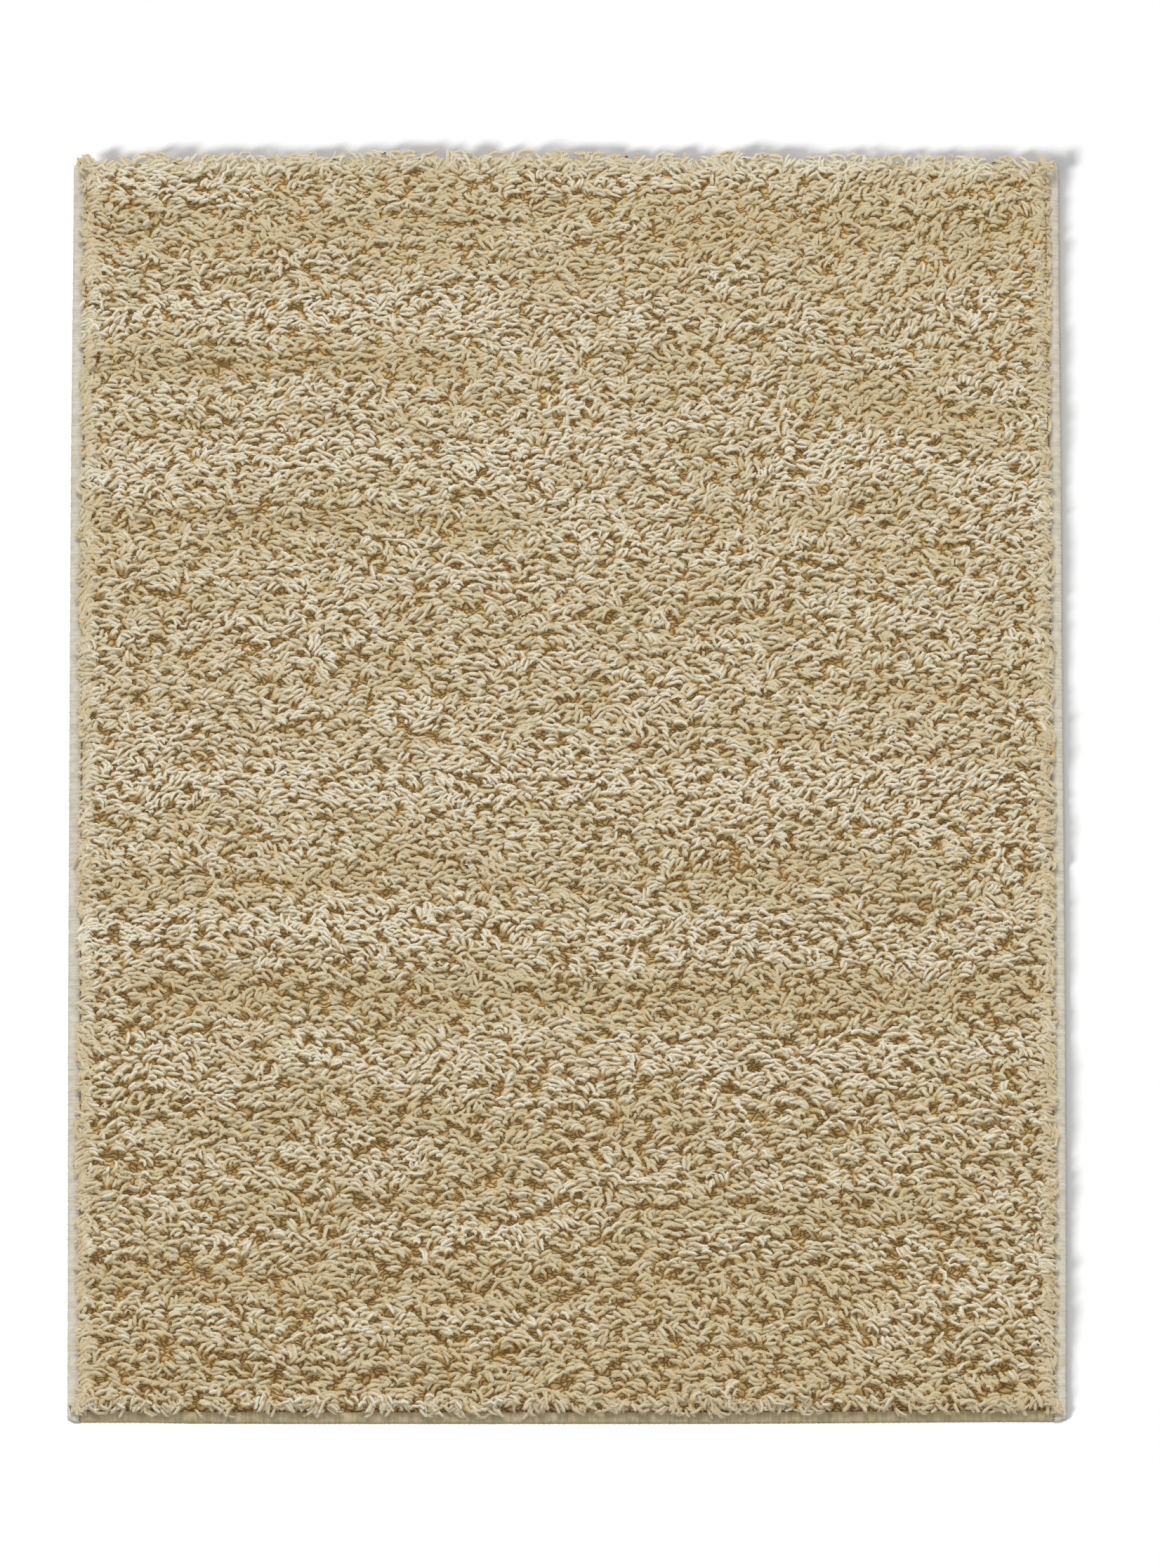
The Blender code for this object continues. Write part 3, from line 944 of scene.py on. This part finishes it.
def draw_lines(roots, growth, rng):
    """Each strand's middle line, its radii, and the level directions across it."""
    count = len(roots)
    points = len(STRAND)
    lift = np.zeros(count)
    for rim in RIMS:
        lift = np.maximum(lift, nearness(rim, roots) * rim.lift)
    centres = np.empty((count, points, 3))
    radii = np.empty((count, points))
    across = np.empty((count, points, 2))
    ahead = np.column_stack([np.cos(growth.angle), np.sin(growth.angle)])
    middle = roots + ahead * rng.normal(-ROOT_BEHIND, ROOT_BEHIND_SPREAD, count)[:, None]
    inner = PILE_HALF - ROOT_INSET
    near_end = np.abs(roots[:, 1]) > PILE_HALF[1] - CORNER_ROOTS
    most_x = inner[0] + np.where(near_end, CORNER_REACH, 0.0)
    middle[:, 0] = np.clip(middle[:, 0], -most_x, most_x)
    middle[:, 1] = np.clip(middle[:, 1], -inner[1], inner[1] + RIMS[-1].reach)
    before = 0.0
    for number, point in enumerate(STRAND):
        share = (point.forward + before) / 2.0 / STRAND[-1].forward
        bend = growth.arc * (share - ARC_MIDDLE)
        bend = growth.angle + bend + growth.hook * (share**2 - HOOK_MIDDLE)
        step = (point.forward - before) * growth.stretch
        before = point.forward
        ahead = np.column_stack([np.cos(bend), np.sin(bend)])
        across[:, number] = np.column_stack([-ahead[:, 1], ahead[:, 0]])
        middle = middle + ahead * step[:, None]
        spread = growth.side * (1.0 + (point.spread - 1.0) * growth.closing)
        centres[:, number, :2] = middle + across[:, number] * spread[:, None]
        past_crest = number > CREST
        dive = np.minimum(growth.stretch**2, 1.0) * (1.0 - lift) if past_crest else 1.0
        centres[:, number, 2] = growth.top + point.height * dive
        radii[:, number] = point.width * growth.thickness
    centres[:, 0, :2] = np.clip(centres[:, 0, :2], -inner, inner)
    drape(centres, radii, rng)
    for number in range(points):
        centres[:, number, :2] = laid(centres[:, number, :2])
    return centres, radii, across


def painted_shades_of(standing, tufts, tuft):
    """Each strand's shade number, painted darker the lower it stands over the pile, and by where it
    is.
    """
    frontness = frontness_at(tufts)[tuft]
    rank = np.argsort(np.argsort(standing)) / len(standing)
    rank **= 1.0 + FRONT_CONTRAST * smooth((frontness - 0.5) / 0.5)
    rank += PATCH_SHADE * patches_at(tufts)[tuft] + BAND_SHADE * bands_at(tufts)[tuft]
    rank -= FAR_SHADE * smooth((FAR_END - frontness) / FAR_END)
    aside = PILE_HALF[0] - np.abs(tufts[:, 0])
    rank -= SIDE_SHADE * smooth(1.0 - aside / SIDE_BAND)[tuft]
    return np.floor(np.clip(rank + SHADE_LIFT, 0.0, PALEST) * SHADES).astype(int)


def outside_gaps(crest, over_front, tufts, tuft):
    """Which strands are kept. The rims are closed, apart from the front one."""
    frontness = frontness_at(tufts)[tuft]
    nearer = smooth((frontness - NEAR_GAPS_START) / (1.0 - NEAR_GAPS_START))
    level = GAP_LEVEL - NEAR_GAPS * nearer - FRONT_RIM_GAPS * over_front
    level += FAR_GAPS * smooth((FAR_GAPS_END - frontness) / FAR_GAPS_END)
    kept = ~in_gap(crest, level + BAND_GAPS * bands_at(tufts)[tuft])
    kept |= (rim_distance(crest) < CLOSED_RIM) & (over_front < 0.5)
    kept |= np.abs(crest[:, 0]) > PILE_HALF[0] - CLOSED_SIDE
    return kept


class Strands(NamedTuple):
    """Arrays with a row for each strand.

    They hold its line, and how it looks: roll turns its section, the shade number picks its painted
    tone, another field is the share of its painted root shade that it lacks, and softness is how
    much its normals lean upwards.
    """

    centres: np.ndarray
    radii: np.ndarray
    across: np.ndarray
    roll: np.ndarray
    painted_shade: np.ndarray
    root_shade_cut: np.ndarray
    softness: np.ndarray


def make_strands(material):
    """All the strands, in pieces from the rug's near end to its far end."""
    rng = np.random.default_rng(SEED)
    tufts = tuft_places(rng)
    tuft = np.repeat(np.arange(len(tufts)), STRANDS_PER_TUFT)
    roots = tufts[tuft]
    growth = draw_growth(tufts, tuft, rng)
    centres, radii, across = draw_lines(roots, growth, rng)
    standing = growth.top - top_at(tufts)[tuft] + rng.normal(0.0, RANK_ERROR, len(tuft))
    painted_shade = painted_shades_of(standing, tufts, tuft)
    # A roll of about a quarter turn keeps each strand's painted top light on its upper ridge.
    roll = rng.normal(math.pi / 2.0, ROLL, len(tuft))
    # Within a few millimetres of the two sides and the back, strands lose some of their painted
    # root shade.
    aside = np.minimum(PILE_HALF[0] - np.abs(tufts[:, 0]), PILE_HALF[1] - tufts[:, 1])
    root_shade_cut = ROOT_SHADE_CUT * smooth(1.0 - aside / ROOT_SHADE_CUT_BAND)[tuft]
    crest = centres[:, CREST, :2]
    over_front = smooth(1.0 - (crest[:, 1] + PILE_HALF[1]) / FRONT_BAND)
    softness = SOFTNESS * (1.0 - FRONT_SOFTNESS_LOSS * over_front)
    strands = Strands(centres, radii, across, roll, painted_shade, root_shade_cut, softness)

    order = np.flatnonzero(outside_gaps(crest, over_front, tufts, tuft))
    order = order[np.argsort(roots[order, 1], kind="stable")]
    return [
        strand_piece(f"pile_strands_{number}", Strands(*(row[part] for row in strands)), material)
        for number, part in enumerate(np.array_split(order, PILE_PIECES))
    ]


def strand_piece(name, strands, material):
    """Strands in one mesh. Each has a ring of SIDES points at all its points but the tip."""
    centres, radii = strands.centres, strands.radii
    count, points = radii.shape
    rings = points - 1
    forward = unit(np.gradient(centres, axis=1))
    lateral = np.concatenate([strands.across, np.zeros((count, points, 1))], axis=2)
    lift = unit(np.cross(forward, lateral))
    lateral = np.cross(lift, forward)
    verts = np.empty((count, rings * SIDES + 1, 3))
    normals = np.empty_like(verts)
    for corner in range(SIDES):
        angle = (strands.roll + 2.0 * math.pi * corner / SIDES)[:, None, None]
        way = np.cos(angle) * lateral + STRAND_FLATNESS * np.sin(angle) * lift
        verts[:, corner:-1:SIDES] = (centres + radii[:, :, None] * way)[:, :rings]
        normals[:, corner:-1:SIDES] = way[:, :rings]
    verts[:, -1] = centres[:, -1]
    normals[:, -1] = forward[:, -1]
    normals = unit(normals + strands.softness[:, None, None] * np.array([0.0, 0.0, 1.0]))

    lengths = np.linalg.norm(np.diff(centres, axis=1), axis=2).cumsum(axis=1)
    along = np.column_stack([np.zeros(count), lengths / lengths[:, -1:]])
    faces, maps = [], []
    for ring in range(rings - 1):
        for corner in range(SIDES):
            after = (corner + 1) % SIDES
            low, high = ring * SIDES, (ring + 1) * SIDES
            faces.append((low + corner, low + after, high + after, high + corner))
            maps.append(((corner, ring), (corner + 1, ring), (corner + 1, ring + 1),
                         (corner, ring + 1)))
    last = (rings - 1) * SIDES
    for corner in range(SIDES):
        after = (corner + 1) % SIDES
        faces.append((last + corner, last + after, rings * SIDES))
        maps.append(((corner, rings - 1), (corner + 1, rings - 1), (corner + 0.5, rings)))
    faces.append(tuple(range(SIDES))[::-1])
    maps.append(((2, 0), (1, 0), (1.5, 0.2)))

    pattern, sides = listed(faces)
    corners = np.arange(count)[:, None] * (rings * SIDES + 1) + pattern
    uvs = np.empty((count, len(pattern), 2))
    column = 1.0 - 2.0 * MAP_MARGIN_ACROSS
    for number, (around, ring) in enumerate(place for places in maps for place in places):
        low = int(ring)
        high = min(low + 1, rings)
        uvs[:, number, 0] = (strands.painted_shade + MAP_MARGIN_ACROSS + column * around / SIDES) / SHADES
        uvs[:, number, 1] = along[:, low] + (along[:, high] - along[:, low]) * (ring - low)
    # Near the rims each strand's map starts further up, so it shows less of its painted root shade.
    root_shade_cut = strands.root_shade_cut[:, None]
    shown = root_shade_cut + (1.0 - root_shade_cut) * uvs[:, :, 1]
    uvs[:, :, 1] = MAP_MARGIN_ALONG + (1.0 - 2.0 * MAP_MARGIN_ALONG) * shown
    piece = new_piece(name, verts.reshape(-1, 3), corners.ravel(), np.tile(sides, count),
                      material, uvs.reshape(-1, 2))
    piece.data.normals_split_custom_set_from_vertices(normals.reshape(-1, 3).tolist())
    return piece


# ---------------------------------------------------------------------------------------------
# Camera, light and floor


class Lamp(NamedTuple):
    """A far lamp: where it stands, how wide it looks in degrees, and whether it casts shadows.

    The photograph's rug is lit softly from above and behind, but its shadow was laid to the right
    and the back. So some lamps light the floor alone, and the others all but the floor.
    """

    name: str
    source: tuple[float, float, float]
    strength: float
    spread: float
    shadow: bool
    floor: bool


LAMPS = (
    Lamp("sky", source=(0.0, 0.0, 1.0), strength=1.65, spread=178.0, shadow=True, floor=False),
    Lamp("key", source=(-0.30, 0.90, 1.30), strength=1.64, spread=25.0, shadow=True, floor=False),
    Lamp("fill", source=(0.10, 0.30, 1.00), strength=1.00, spread=20.0, shadow=False, floor=False),
    Lamp("floor_fill", source=(0.0, 0.0, 1.0), strength=0.60, spread=20.0, shadow=False,
         floor=True),
    Lamp("floor_sky", source=(-0.35, -0.30, 1.00), strength=1.20, spread=70.0, shadow=True,
         floor=True),
    Lamp("floor_key", source=(-1.60, -1.05, 1.15), strength=3.50, spread=12.0, shadow=True,
         floor=True),
)
FLOOR_GREY = 0.91
FLOOR_REACH = 150.0
FLOOR_HEIGHT = -0.0002


def make_camera():
    """A camera as far away as its long lens asks, aimed so that the rug is where it should be."""
    data = bpy.data.cameras.new("camera")
    data.lens = LENS_MM
    data.sensor_width = SENSOR_MM
    data.clip_start = CLIP_START
    data.clip_end = CLIP_END
    camera = bpy.data.objects.new("camera", data)
    bpy.context.scene.collection.objects.link(camera)
    away = Vector((0.0, -math.cos(VIEW_ELEVATION), math.sin(VIEW_ELEVATION)))
    upward = Vector((0.0, math.sin(VIEW_ELEVATION), math.cos(VIEW_ELEVATION)))
    to_right = (FRAME_WIDTH_PX / 2 - RUG_MIDDLE_PX[0]) * METRES_PER_PX
    to_top = (RUG_MIDDLE_PX[1] - FRAME_HEIGHT_PX / 2) * METRES_PER_PX
    aim = Vector((to_right, 0.0, 0.0)) + upward * to_top
    distance = FRAME_HEIGHT_PX * METRES_PER_PX * LENS_MM / SENSOR_MM
    camera.location = aim + away * distance
    camera.rotation_mode = "QUATERNION"
    camera.rotation_quaternion = away.to_track_quat("Z", "Y")
    bpy.context.scene.camera = camera


def make_light(floor):
    """The lamps, and a white world that only the camera sees."""
    scene = bpy.context.scene
    world = bpy.data.worlds.new("studio")
    world.use_nodes = True
    background = world.node_tree.nodes["Background"]
    background.inputs["Color"].default_value = (1.0, 1.0, 1.0, 1.0)
    background.inputs["Strength"].default_value = 1.0
    scene.world = world
    for ray in ("diffuse", "glossy", "transmission", "scatter"):
        setattr(world.cycles_visibility, ray, False)
    for lamp in LAMPS:
        data = bpy.data.lights.new(lamp.name, "SUN")
        data.energy = lamp.strength
        data.angle = math.radians(lamp.spread)
        data.use_shadow = lamp.shadow
        obj = bpy.data.objects.new(lamp.name, data)
        obj.rotation_mode = "QUATERNION"
        obj.rotation_quaternion = Vector(lamp.source).to_track_quat("Z", "Y")
        scene.collection.objects.link(obj)
        lit = bpy.data.collections.new("lit_by_" + lamp.name)
        lit.objects.link(floor)
        lit.collection_objects[0].light_linking.link_state = "INCLUDE" if lamp.floor else "EXCLUDE"
        obj.light_linking.receiver_collection = lit
    scene.view_settings.view_transform = "Standard"


def make_floor():
    paper = Finish("studio_floor", roughness=0.95, specular=0.0)
    paper.shader.inputs["Base Color"].default_value = (FLOOR_GREY, FLOOR_GREY, FLOOR_GREY, 1.0)
    mesh = bpy.data.meshes.new("floor")
    around = [(-1.0, -1.0), (1.0, -1.0), (1.0, 1.0), (-1.0, 1.0)]
    verts = [(x * FLOOR_REACH, y * FLOOR_REACH, FLOOR_HEIGHT) for x, y in around]
    mesh.from_pydata(verts, [], [(0, 1, 2, 3)])
    mesh.materials.append(paper.material)
    floor = bpy.data.objects.new("floor", mesh)
    bpy.context.scene.collection.objects.link(floor)
    return floor


# ---------------------------------------------------------------------------------------------

make_camera()
make_light(make_floor())

matting = make_matting()
strands = make_strands(yarn_finish())

serging = thread_finish("edging_thread_serging", SERGING_DARK, SERGING_PALE, 1, SERGING_PITCH)
webbing = thread_finish("binding_cloth_webbing", WEBBING_DARK, WEBBING_PALE, 0, WEBBING_PITCH)
edges = [make_strip(strip, (serging, webbing)[strip.axis]) for strip in STRIPS]

bpy.context.view_layer.update()
